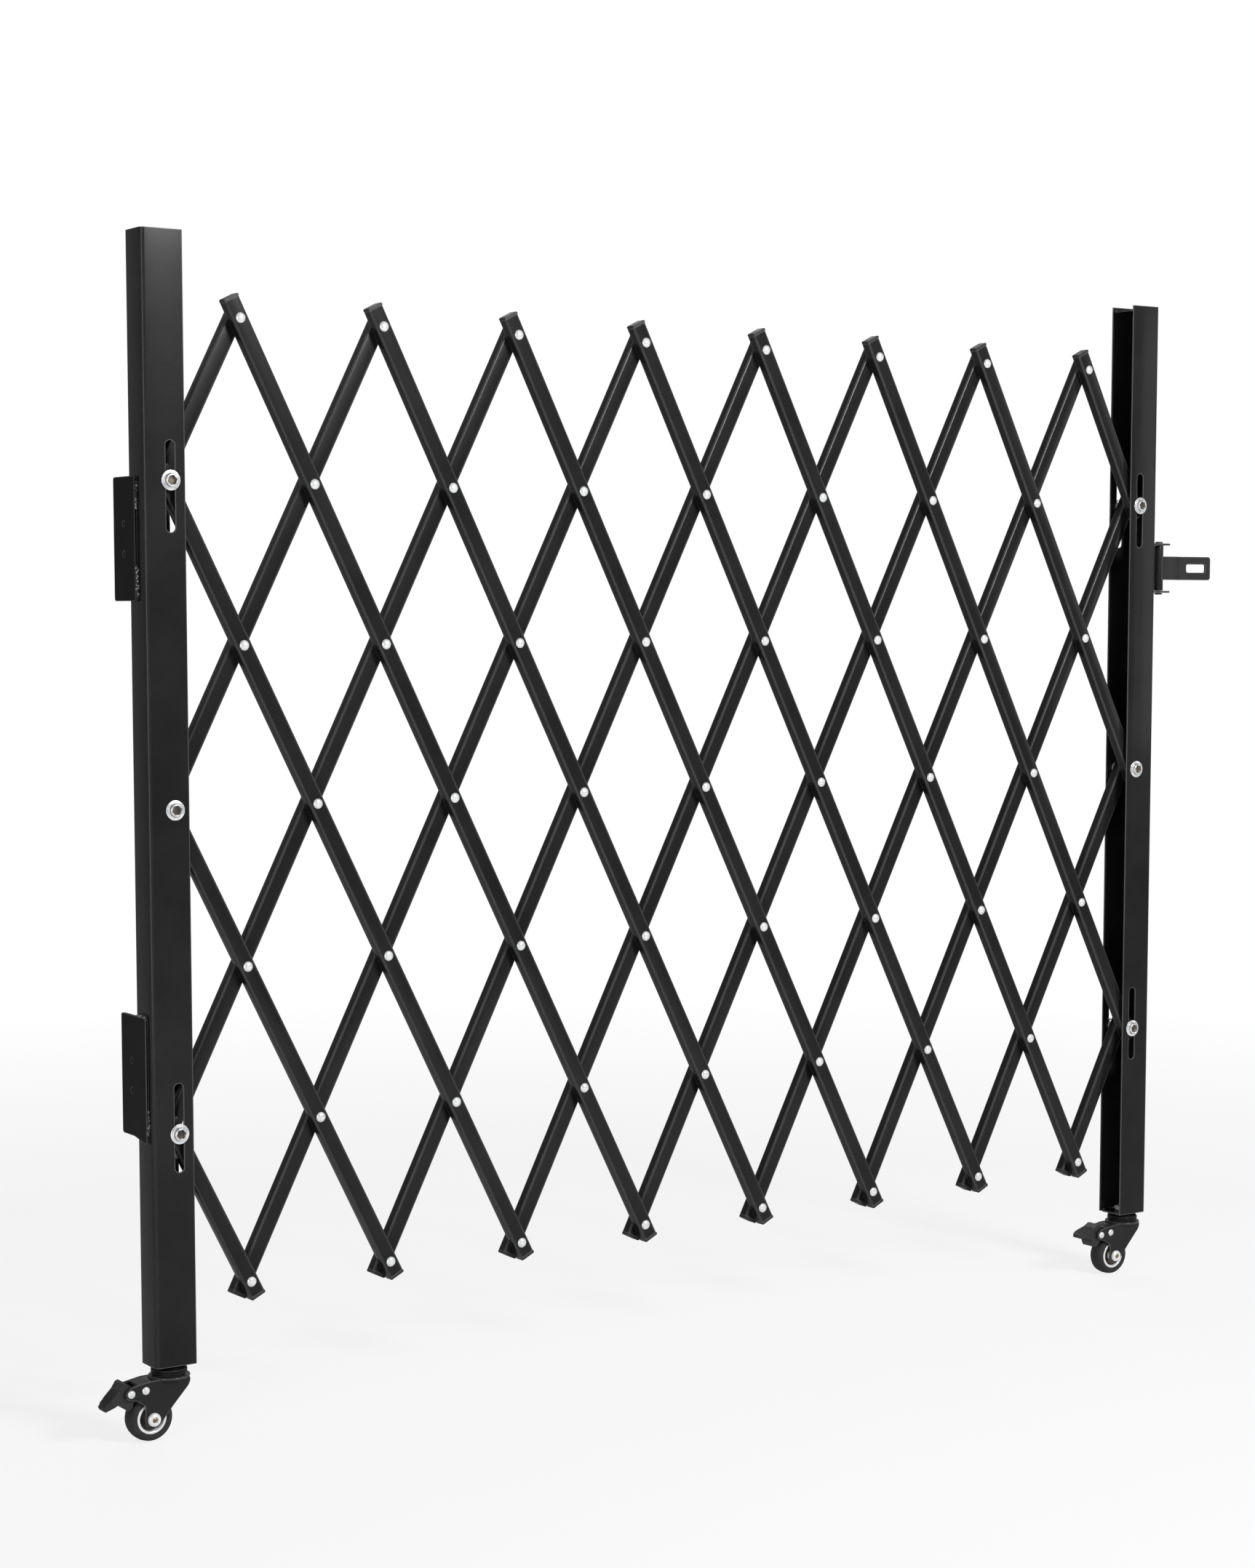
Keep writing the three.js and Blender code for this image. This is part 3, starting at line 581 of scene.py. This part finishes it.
build_post("left_post", 1)
build_post("right_post", -1)

# Post bolts: flanged screw with a hexagon recess, nut and two spacers
HEAD_RADIUS, HEAD_HEIGHT, FLANGE = 10.5, 5, 1.4
NUT_ACROSS, NUT_HEIGHT, SPACER_RADIUS = 15, 6, 7.5
RECESS_ACROSS, RECESS_TURN = 9.6, 0.2


def build_bolt(name, body, side, height):
    matrix = side_matrix(side) @ moved(z=height)
    front, rear = -POST_DEPTH / 2 - GAP, POST_DEPTH / 2 + GAP
    tip = rear + NUT_HEIGHT + GAP
    head = fillet([
        (0, front - HEAD_HEIGHT, 0), (6.4, front - HEAD_HEIGHT, 1.0), (7.6, front - 1.7, 0.8),
        (HEAD_RADIUS, front - FLANGE, 0.6), (HEAD_RADIUS, front, 0.3), (BOLT_RADIUS, front, 0),
        (BOLT_RADIUS, tip, 0.6), (0, tip, 0),
    ], 0.5, 4, closed=False)
    recess = prism(hexagon(RECESS_ACROSS, RECESS_TURN), front - 8, front - 1.2, "y")
    make(name + "_screw", lathe(head, 48), BOLT_ZINC, body, name, [recess], bevel=0.15, matrix=matrix)
    # A dark plate at the bottom of the screw's hexagon recess: painted shade, darkening the recess
    floor = prism(hexagon(RECESS_ACROSS - 0.3, RECESS_TURN), front - 1.5, front - 1.1, "y")
    make(name + "_recess_painted_shade", floor, PAINTED_SHADE_METAL, body, matrix=matrix)
    dome = lathe(fillet([
        (0, rear, 0), (7.2, rear, 0), (8.9, rear + 1.2, 0), (8.9, rear + 4.9, 0), (7.0, rear + NUT_HEIGHT, 0),
        (0, rear + NUT_HEIGHT, 0),
    ], 0, 1, closed=False), 36)
    nut = prism(hexagon(NUT_ACROSS, 0.4), rear, rear + NUT_HEIGHT, "y")
    bore = prism(circle(BOLT_RADIUS + 0.05, 28), rear - 1, rear + 9, "y")
    make(name + "_nut", nut, BOLT_ZINC, body, None, [bore], bevel=0.15, matrix=matrix, keep=[dome])
    inside = POST_DEPTH / 2 - POST_SHEET - GAP
    for label, low, high in (("front", -inside, FRONT - GAP), ("rear", REAR + BAR_SHEET + GAP, inside)):
        inner, outer = BOLT_RADIUS + 0.1, SPACER_RADIUS
        ring = fillet([(inner, low), (outer, low), (outer, high), (inner, high)], 0.4, 3)
        make("%s_%s_spacer" % (name, label), lathe(ring, 32, loop=True), ZINC, body, matrix=matrix)


# The bars that carry the slot bolts
SLOT_BODIES = {("left", "upper"): "front_bar_03", ("left", "lower"): "front_bar_01",
               ("right", "upper"): "front_bar_11", ("right", "lower"): "front_bar_09"}
for label, side in (("left", 1), ("right", -1)):
    build_bolt(label + "_middle_bolt", label + "_post", side, MIDDLE)
    for level, way in (("upper", 1), ("lower", -1)):
        height = MIDDLE + way * SLOT_ROWS * ROW
        build_bolt("%s_%s_slot_bolt" % (label, level), SLOT_BODIES[label, level], side, height)


# Wall brackets
BRACKET_HOLE_RADIUS, BRACKET_HOLE_INSET, BRACKET_HOLE_HEIGHTS = 3, 24, (-15.5, 15.5)


def build_bracket(name, way, inset, drop):
    front, rear = -POST_DEPTH / 2 + inset, POST_DEPTH / 2 + BRACKET_REACH
    low, high = -BRACKET_HEIGHT / 2, BRACKET_HEIGHT / 2
    outline = fillet([
        (front, low - drop, 2), (POST_DEPTH / 2, low, 8), (rear, low, 3), (rear, high, 3), (front, high, 2),
    ], 3, 5)
    face = -BOLT_INSET - GAP
    matrix = moved(z=MIDDLE + way * BRACKET_OFFSET)
    holes = [prism(circle(BRACKET_HOLE_RADIUS, 28, rear - BRACKET_HOLE_INSET, z), face - 6, face + 3, "x")
             for z in BRACKET_HOLE_HEIGHTS]
    plate = prism(outline, face - BRACKET_SHEET, face, "x")
    make(name + "_plate", plate, SHADED_BRACKET_POWDER, "left_post", name, holes, bevel=0.4, matrix=matrix)
    # Each seam: distance from the post's web, start and end as (y, z), radius, seed
    near, edge = -BOLT_INSET - 0.4, front - 0.4
    if way > 0:
        seams = [(0.6, (edge, low + 2), (edge, low + 38), 2.2, 3),
                 (0.6, (edge, high - 34), (edge, high - 4), 1.4, 8)]
    else:
        seams = [(0.8, (front + 1, high + 0.5), (12, high + 0.5), 2.3, 5),
                 (0.6, (edge, low + 4), (edge, low + 30), 1.5, 9)]
    welds = Mesh()
    for out, start, end, radius, seed in seams:
        welds.join(bead((near - out, *start), (near - out, *end), radius, seed, X_AXIS))
    make(name + "_welds", welds, WELD_PAINT, "left_post", matrix=matrix)


build_bracket("upper_wall_bracket", 1, 16, 0)
build_bracket("lower_wall_bracket", -1, 8, 5)

# Hasp: bracket, pin and slotted tongue, in a frame on the right post's outer face
HASP = moved(RIGHT + BOLT_INSET, 0, MIDDLE + 256)
HASP_HALF, HASP_EAR, HASP_SHEET, HASP_WIDTH = 31.5, 35.5, 2.5, 20
PIN_OUT, PIN_RADIUS, PIN_HEAD, PIN_HEAD_HEIGHT = 23.5, 3, 5, 2
HASP_PIN = HASP @ moved(PIN_OUT)


def build_hasp():
    half, ear, sheet, side = HASP_HALF, HASP_EAR, HASP_SHEET, HASP_WIDTH / 2
    profile = fillet([
        (GAP, -half, 4), (ear, -half, 0.8), (ear, -half + sheet, 0.8), (GAP + sheet, -half + sheet, 1.5),
        (GAP + sheet, half - sheet, 1.5), (ear, half - sheet, 0.8), (ear, half, 0.8), (GAP, half, 4),
    ], 1, 6)
    rounded = prism(fillet([(0, -side), (ear, -side, 3), (ear, side, 3), (0, side)], 0, 6), -40, 40, "z")
    make("hasp_bracket_channel", prism(profile, -side, side, "y"), POWDER, "right_post", "hasp_bracket",
         bevel=0.4, matrix=HASP, keep=[rounded])
    reach = half + GAP
    low, high = -reach - PIN_HEAD_HEIGHT, reach + PIN_HEAD_HEIGHT
    pin = fillet([(0, low, 0), (PIN_HEAD, low, 1), (PIN_HEAD, -reach, 0.2), (PIN_RADIUS, -reach, 0),
                  (PIN_RADIUS, reach, 0), (PIN_HEAD, reach, 0.2), (4.6, high, 1.4), (0, high, 0)],
                 0.5, 4, closed=False)
    make("hasp_pin_rod", lathe(pin, 32, "z"), POWDER, "right_post", "hasp_pin", matrix=HASP_PIN)
    seams = Mesh()
    for way in (1, -1):
        seams.join(bead((0.6, way * (side + 0.2), -24), (0.6, way * (side + 0.2), 24), 1.3, 20 + way, X_AXIS))
    make("hasp_bracket_welds", seams, WELD_PAINT, "right_post", matrix=HASP)


def joggled(mesh, start, length, step):
    """Steps a strap sideways over a smooth double bend."""
    for vertex in mesh.vertices:
        share = min(1.0, max(0.0, (vertex.x - start) / length))
        vertex.y += step * share * share * (3 - 2 * share)
    return mesh


def build_tongue():
    bore, half, skin = 3.35, 28.7, 5.8
    outer = bore + HASP_SHEET - 0.05
    ring = fillet([(bore, -half), (outer, -half), (outer, half), (bore, half)], 0.4, 3)
    make("hasp_tongue_barrel", lathe(ring, 36, "z", loop=True), POWDER, "hasp_tongue", matrix=HASP_PIN)
    # The strap, with many sections along it so that it bends and its tip is round
    start, length, step, tip, corner, half_height = 27, 8, 5, 92, 4, 15
    sections = [0, 1.5, 3] + [start + length * n / 10 for n in range(11)] + [50, tip - corner]
    sections += [tip - corner + corner * sin(n * pi / 16) for n in range(1, 9)]
    rings = []
    for x in sections:
        past = max(0.0, (x - tip + corner) / corner)
        half = half_height - corner + corner * sqrt(max(0.0, 1 - past * past))
        near = -skin + HASP_SHEET
        rings.append([(x, -skin, -half), (x, near, -half), (x, near, half), (x, -skin, half)])
    strap = joggled(loft(rings), start, length, step)
    slot_centre, slot_length, slot_height = 66, 34.5, 10.5
    slot = [(x + slot_centre, z) for x, z in rounded_box(slot_length, slot_height, 2.6, 5)]
    make("hasp_tongue_strap", strap, POWDER, "hasp_tongue", "hasp_tongue", [prism(slot, -15, 15, "y")],
         bevel=0.35, matrix=HASP_PIN)


build_hasp()
build_tongue()

# Casters, in a frame with the swivel axis at x = 0, the floor at z = 0 and the axle at x = -TRAIL
WHEEL, TRAIL, FORK_IN, FORK_SHEET = 24.5, 24.0, 11.5, 2.0
PEDAL_PIN = (-1.01 * WHEEL, 1.23 * WHEEL)
STOP_PIN = (-0.35 * WHEEL, 1.29 * WHEEL)
RACE_HEIGHT, CROWN_HEIGHT = 9, 6
RACE_FOOT = CASTER_HEIGHT - GAP - RACE_HEIGHT
CROWN_TOP = RACE_FOOT - GAP
CROWN_FOOT = CROWN_TOP - CROWN_HEIGHT
STEM_TIP, STEM_NUT_HEIGHT, THREAD_PITCH = CASTER_HEIGHT + END_PLATE + 7.5, 5.5, 1.25
AXLE = moved(-TRAIL, 0, WHEEL)


def fork_side():
    """Outline of a fork's cheek, measured from the axle."""
    top = CROWN_FOOT + CROWN_HEIGHT / 2 - WHEEL
    end = 0.39 * WHEEL
    angles = [radians(-36 - n * 162 / 18) for n in range(19)]
    lobe = [(end * cos(angle), end * sin(angle), 0) for angle in angles]
    points = [(1.72 * WHEEL, top, 3), (1.71 * WHEEL, 1.42 * WHEEL, 5), (1.62 * WHEEL, 1.24 * WHEEL, 5),
              (0.9 * WHEEL, 0.46 * WHEEL, 9)]
    points += lobe
    points += [(-0.38 * WHEEL, 0.64 * WHEEL, 5), (-0.75 * WHEEL, 0.88 * WHEEL, 5), (-1.2 * WHEEL, WHEEL, 4),
               (-1.28 * WHEEL, 1.3 * WHEEL, 4), (-WHEEL, 1.52 * WHEEL, 5), (-0.1 * WHEEL, top, 6)]
    return fillet(points, 3, 5)


def build_fork(name, matrix):
    crown = fillet([
        (0, CROWN_FOOT, 0), (17.5, CROWN_FOOT, 1), (22, CROWN_FOOT + 2.2, 2.5), (22, CROWN_TOP - 1.8, 1.5),
        (18.4, CROWN_TOP, 1.5), (0, CROWN_TOP, 0),
    ], 1, 5, closed=False)
    make(name + "_crown", lathe(crown, 56, "z"), CASTER_STEEL, name, name, matrix=matrix)
    place = matrix @ AXLE
    outside = FORK_IN + FORK_SHEET
    for label, low, high in (("front", -outside, -FORK_IN), ("rear", FORK_IN, outside)):
        cheek = prism(fork_side(), low, high, "y")
        make("%s_%s_cheek" % (name, label), cheek, CASTER_STEEL, name, bevel=0.5, segments=3, matrix=place)
    # The bent sheet that joins the cheeks over the wheel
    top = CROWN_FOOT + 2.6 - WHEEL
    hood = fillet([(4, top), (-4, top), (-15.5, top - 1.9), (-16.4, top - 4.6), (-14.6, top - 4.9),
                   (-13.6, top - 3.6), (-3.8, top - 2), (4, top - 2)], 1.6, 4)
    half = FORK_IN + 0.4
    make(name + "_hood", prism(hood, -half, half, "y"), CASTER_STEEL, name, bevel=0.4, matrix=place)


def build_stem(name, body, matrix):
    """Swivel race and threaded stem, with the nut that holds them to the foot plate."""
    seat = CASTER_HEIGHT - GAP
    race = fillet([
        (0, RACE_FOOT, 0), (17, RACE_FOOT, 0.5), (19, RACE_FOOT + 0.8, 1), (19, RACE_FOOT + 4.6, 1.6),
        (15.2, seat, 1), (5, seat, 0),
    ], 1, 5, closed=False)
    rod = []
    level = seat
    while level < STEM_TIP - 1.2:
        rod += [(4.95, level), (4.45, level + 0.6)]
        level += THREAD_PITCH
    rod += [(4.4, STEM_TIP - 0.8), (3.7, STEM_TIP), (0, STEM_TIP)]
    make(name, lathe(race + rod, 48, "z"), SHADED_SWIVEL_STEEL, body, name, matrix=matrix)
    low = CASTER_HEIGHT + END_PLATE + GAP
    high = low + STEM_NUT_HEIGHT
    dome = lathe([(0, low), (8.2, low), (10, low + 1), (10, low + 4.5), (8.2, high), (0, high)], 36, "z")
    nut = prism(hexagon(17, 0.3), low, high, "z")
    bore = prism(circle(5.05, 28), low - 1, low + 8, "z")
    make(name + "_nut", nut, ZINC, body, name + "_nut", [bore], bevel=0.15, matrix=matrix, keep=[dome])


def build_wheel(name, matrix):
    place = matrix @ AXLE
    body = name + "_wheel"
    # Half profiles as (radius, half width, corner), mirrored about the wheel's middle
    tyre = [(16.8, 9, 0.4), (18.6, 10, 1), (21.6, 9.9, 1.5), (23.7, 7.2, 2.5), (24.5, 2.6, 3)]
    hub = [(3.3, 10.3, 0.4), (5, 10.3, 0.8), (6.4, 4.8, 1.5), (12.7, 4.8, 1.5), (13.7, 9.3, 0.8),
           (16.5, 8.9, 0.6)]
    for node, half, steps, sides, material in (("_tyre", tyre, 5, 72, RUBBER), ("_hub", hub, 4, 56, RIM)):
        whole = [(r, -y, corner) for r, y, corner in half] + half[::-1]
        ring = lathe(fillet(whole, 1, steps), sides, loop=True)
        make(name + node + "_ring", ring, material, body, name + node, matrix=place)
    # Dark rings laid on the hub's recessed faces: painted shade in the hollow between rim and boss
    for side, way in (("front", -1), ("rear", 1)):
        painted_hub_shade = [(5.6, 4.7), (12.4, 4.7), (12.9, 6.4), (10.4, 5.3), (5.7, 5.6)]
        painted_hub_shade = lathe(fillet([(r, way * y) for r, y in painted_hub_shade], 0.3, 2), 56, loop=True)
        make("%s_%s_dish" % (name, side), painted_hub_shade, PAINTED_SHADE_METAL, body, matrix=place)


def build_axle(name, matrix):
    """Axle bolt with its nut, and the two rivets through the fork."""
    place = matrix @ AXLE
    body = name + "_fork"
    face = FORK_IN + FORK_SHEET + GAP
    bolt = fillet([
        (0, -face - 2, 0), (2.9, -face - 2, 0.4), (3.2, -face - 3.6, 0.4), (4.6, -face - 4, 0.6),
        (6.7, -face - 2.6, 0.8), (7.5, -face, 0.4), (3, -face, 0), (3, face + 4.3, 0.5), (0, face + 4.3, 0),
    ], 0.5, 4, closed=False)
    make(name + "_axle_bolt", lathe(bolt, 40), RIM, body, name + "_axle", matrix=place)
    end = [(0, 3.3), (1.7, 3.2), (2.6, 2.6), (2.7, 2), (0, 1.9)]
    end = lathe([(r, -face - out) for r, out in end], 24)
    make(name + "_axle_end", end, BRASS, body, matrix=place)
    tip = face + 4
    dome = lathe([(0, face), (6.4, face), (7.6, face + 0.8), (7.6, face + 3.3), (6.4, tip), (0, tip)], 36)
    nut = prism(hexagon(13, 0.2), face, tip, "y")
    bore = prism(circle(3.05, 24), face - 1, face + 5, "y")
    make(name + "_axle_nut", nut, ZINC, body, None, [bore], bevel=0.15, matrix=place, keep=[dome])
    head = [(0, 1.8), (1.6, 1.7), (3.0, 1.25), (4.0, 0.5), (4.25, 0.0)]
    for node, (x, z) in (("_brake_pin", PEDAL_PIN), ("_stop_pin", STOP_PIN)):
        profile = [(r, -(face + h)) for r, h in head] + [(2.5, -face), (2.5, face)]
        profile += [(r, face + h) for r, h in reversed(head)]
        rivet = lathe(profile, 28)
        make(name + node + "_rivet", rivet, ZINC, body, name + node, matrix=place @ moved(x, 0, z))


# Pedal with its tread level, in millimetres round its pin: tread, ear over the pin, boss, shoe
PEDAL = [
    (-32, 2.2, 1.6), (-22, 5.4, 9), (-9, 9.4, 9), (-2, 13.4, 2), (1.6, 12.8, 1.4), (3, 8, 4), (6.4, 3, 3),
    (6, -3.4, 4), (1.5, -8.4, 4), (-5.5, -15.4, 3.4), (-10.8, -15, 3.4), (-13.4, -8.4, 4), (-13, -3, 3),
    (-23, -2.8, 6), (-31.2, -2.4, 1.8),
]
PEDAL_PLAN = [(-33, -6, 5), (-33, 6, 5), (-21, 9.6, 8), (12, 9.6, 1), (12, -9.6, 1), (-21, -9.6, 8)]
TREAD_TILT, BRAKE_TRAVEL = 28, 28
RIDGE_LEVELS, RIDGE_HALF_WIDTH = (-7.2, -4.3, -1.4, 1.4, 4.3, 7.2), 0.7


def build_brake(node, turn, matrix):
    x, z = PEDAL_PIN
    place = matrix @ moved(x - TRAIL, 0, z + WHEEL) @ Matrix.Rotation(radians(turn), 4, "Y")
    place = place @ Matrix.Rotation(radians(-TREAD_TILT), 4, "Y")
    pedal, plan = prism(fillet(PEDAL, 2), -12, 12, "y"), prism(fillet(PEDAL_PLAN, 2, 6), -25, 25, "z")
    make(node + "_pedal", pedal, PLASTIC, node, node, bevel=0.8, segments=3, matrix=place, keep=[plan])
    # Ridges along the tread, for grip
    ridges = Mesh()
    lie = moved(-19, 6.1) @ Matrix.Rotation(atan2(3.4, 11), 4, "Z")
    for level in RIDGE_LEVELS:
        half = 9.4 if abs(level) > 6 else 11
        ridge = fillet([(-half, -0.8), (half, -0.8), (half - 0.9, 0.8), (0.9 - half, 0.8)], 0.5, 3)
        ridge = [tuple((lie @ Vector((u, v, 0)))[:2]) for u, v in ridge]
        ridges.join(prism(ridge, level - RIDGE_HALF_WIDTH, level + RIDGE_HALF_WIDTH, "y"))
    make(node + "_ridges", ridges, PLASTIC, node, bevel=0.25, matrix=place)


for label, side, x, turn in (("left", 1, 0, 0), ("right", -1, RIGHT, BRAKE_TRAVEL)):
    name = label + "_caster"
    caster = moved(x + side * (POST_WIDTH / 2 - BOLT_INSET))
    build_stem(name + "_stem", label + "_post", caster)
    build_fork(name + "_fork", caster)
    build_wheel(name, caster)
    build_axle(name, caster)
    build_brake(name + "_brake", turn, caster)


# Stage
WHITE = (1, 1, 1, 1)
FLOOR_HALF, FLOOR_DROP = 9.0, 0.0003         # metres
FLOOR_CENTRE = (0.7, 0.0, FLOOR)
FADE_START, FADE_END = 1.2, 3.0              # metres from the centre
FLOOR_WHITE = 0.8                            # share of pure white at the barrier's feet


def build_floor():
    """A pale floor that fades into the white background away from the barrier."""
    data = bpy.data.meshes.new("floor")
    corners = [(FLOOR_HALF * x, FLOOR_HALF * y, FLOOR - FLOOR_DROP)
               for x, y in ((-1, -1), (1, -1), (1, 1), (-1, 1))]
    data.from_pydata(corners, [], [(0, 1, 2, 3)])
    floor = new_object("floor", data)
    material, tree, shader = new_material("floor_white")
    shader["Base Color"].default_value = (0.9, 0.9, 0.9, 1)
    shader["Roughness"].default_value = 0.9
    shader["Specular IOR Level"].default_value = 0.0
    distance = tree.new("VectorMath")
    distance.operation = "DISTANCE"
    tree.link(tree.new("NewGeometry").outputs["Position"], distance.inputs[0])
    distance.inputs[1].default_value = FLOOR_CENTRE
    fade = tree.ramp(distance.outputs["Value"], FADE_START, FADE_END, FLOOR_WHITE, 1.0)
    share = tree.math("MULTIPLY", tree.background_rays(), fade)
    glow = tree.new("Emission", Color=WHITE)
    principled = tree.nodes["Principled BSDF"]
    tree.mix_shaders(share, principled.outputs["BSDF"], glow.outputs["Emission"], "Material Output")
    data.materials.append(material)


def build_world():
    """A plain soft light, seen as white where it is the background."""
    world = bpy.data.worlds.new("studio")
    bpy.context.scene.world = world
    tree = Tree(world)
    lit = tree.nodes["Background"]
    lit.inputs["Color"].default_value = WHITE
    lit.inputs["Strength"].default_value = 0.25
    shown = tree.new("Background", Color=WHITE, Strength=1.0)
    share = tree.background_rays()
    tree.mix_shaders(share, lit.outputs["Background"], shown.outputs["Background"], "World Output")


def area_light(name, place, target, size, power):
    data = bpy.data.lights.new(name, "AREA")
    data.shape, data.size, data.size_y, data.energy = "RECTANGLE", size[0], size[1], power
    lamp = new_object(name, data)
    lamp.location = place
    lamp.rotation_euler = (Vector(target) - Vector(place)).to_track_quat("-Z", "Y").to_euler()


def build_camera():
    """The camera that was fitted to the photograph."""
    azimuth, elevation = radians(-34.19), radians(5.13)
    data = bpy.data.cameras.new("camera")
    data.sensor_fit, data.sensor_height, data.sensor_width = "VERTICAL", 36.0, 36.0
    data.lens = 66.79
    data.shift_x, data.shift_y = 0.00335, 0.05318
    data.clip_start, data.clip_end = 0.05, 60
    camera = new_object("camera", data)
    forward = Vector((-sin(azimuth) * cos(elevation), cos(azimuth) * cos(elevation), -sin(elevation)))
    camera.location = (ORIGIN + Vector((-1286.02, -2723.3, MIDDLE + 207.34))) * MM
    camera.rotation_euler = forward.to_track_quat("-Z", "Y").to_euler()
    bpy.context.scene.camera = camera


build_floor()
build_world()
# Name, place, target and size in metres, power in watts
area_light("key", (1.35, -2.8, 1.15), (0.1, 0.0, 0.25), (0.9, 0.8), 85)
area_light("left", (-2.4, -1.9, 0.0), (0.0, 0.0, -0.1), (0.9, 1.9), 26)
area_light("right", (3.6, -1.9, 0.1), (1.4, 0.0, -0.3), (0.6, 1.0), 3)
area_light("back", (2.0, 2.6, 1.6), (0.8, 0.0, -0.3), (1.8, 1.2), 16)
build_camera()
bpy.context.scene.view_settings.view_transform = "Standard"
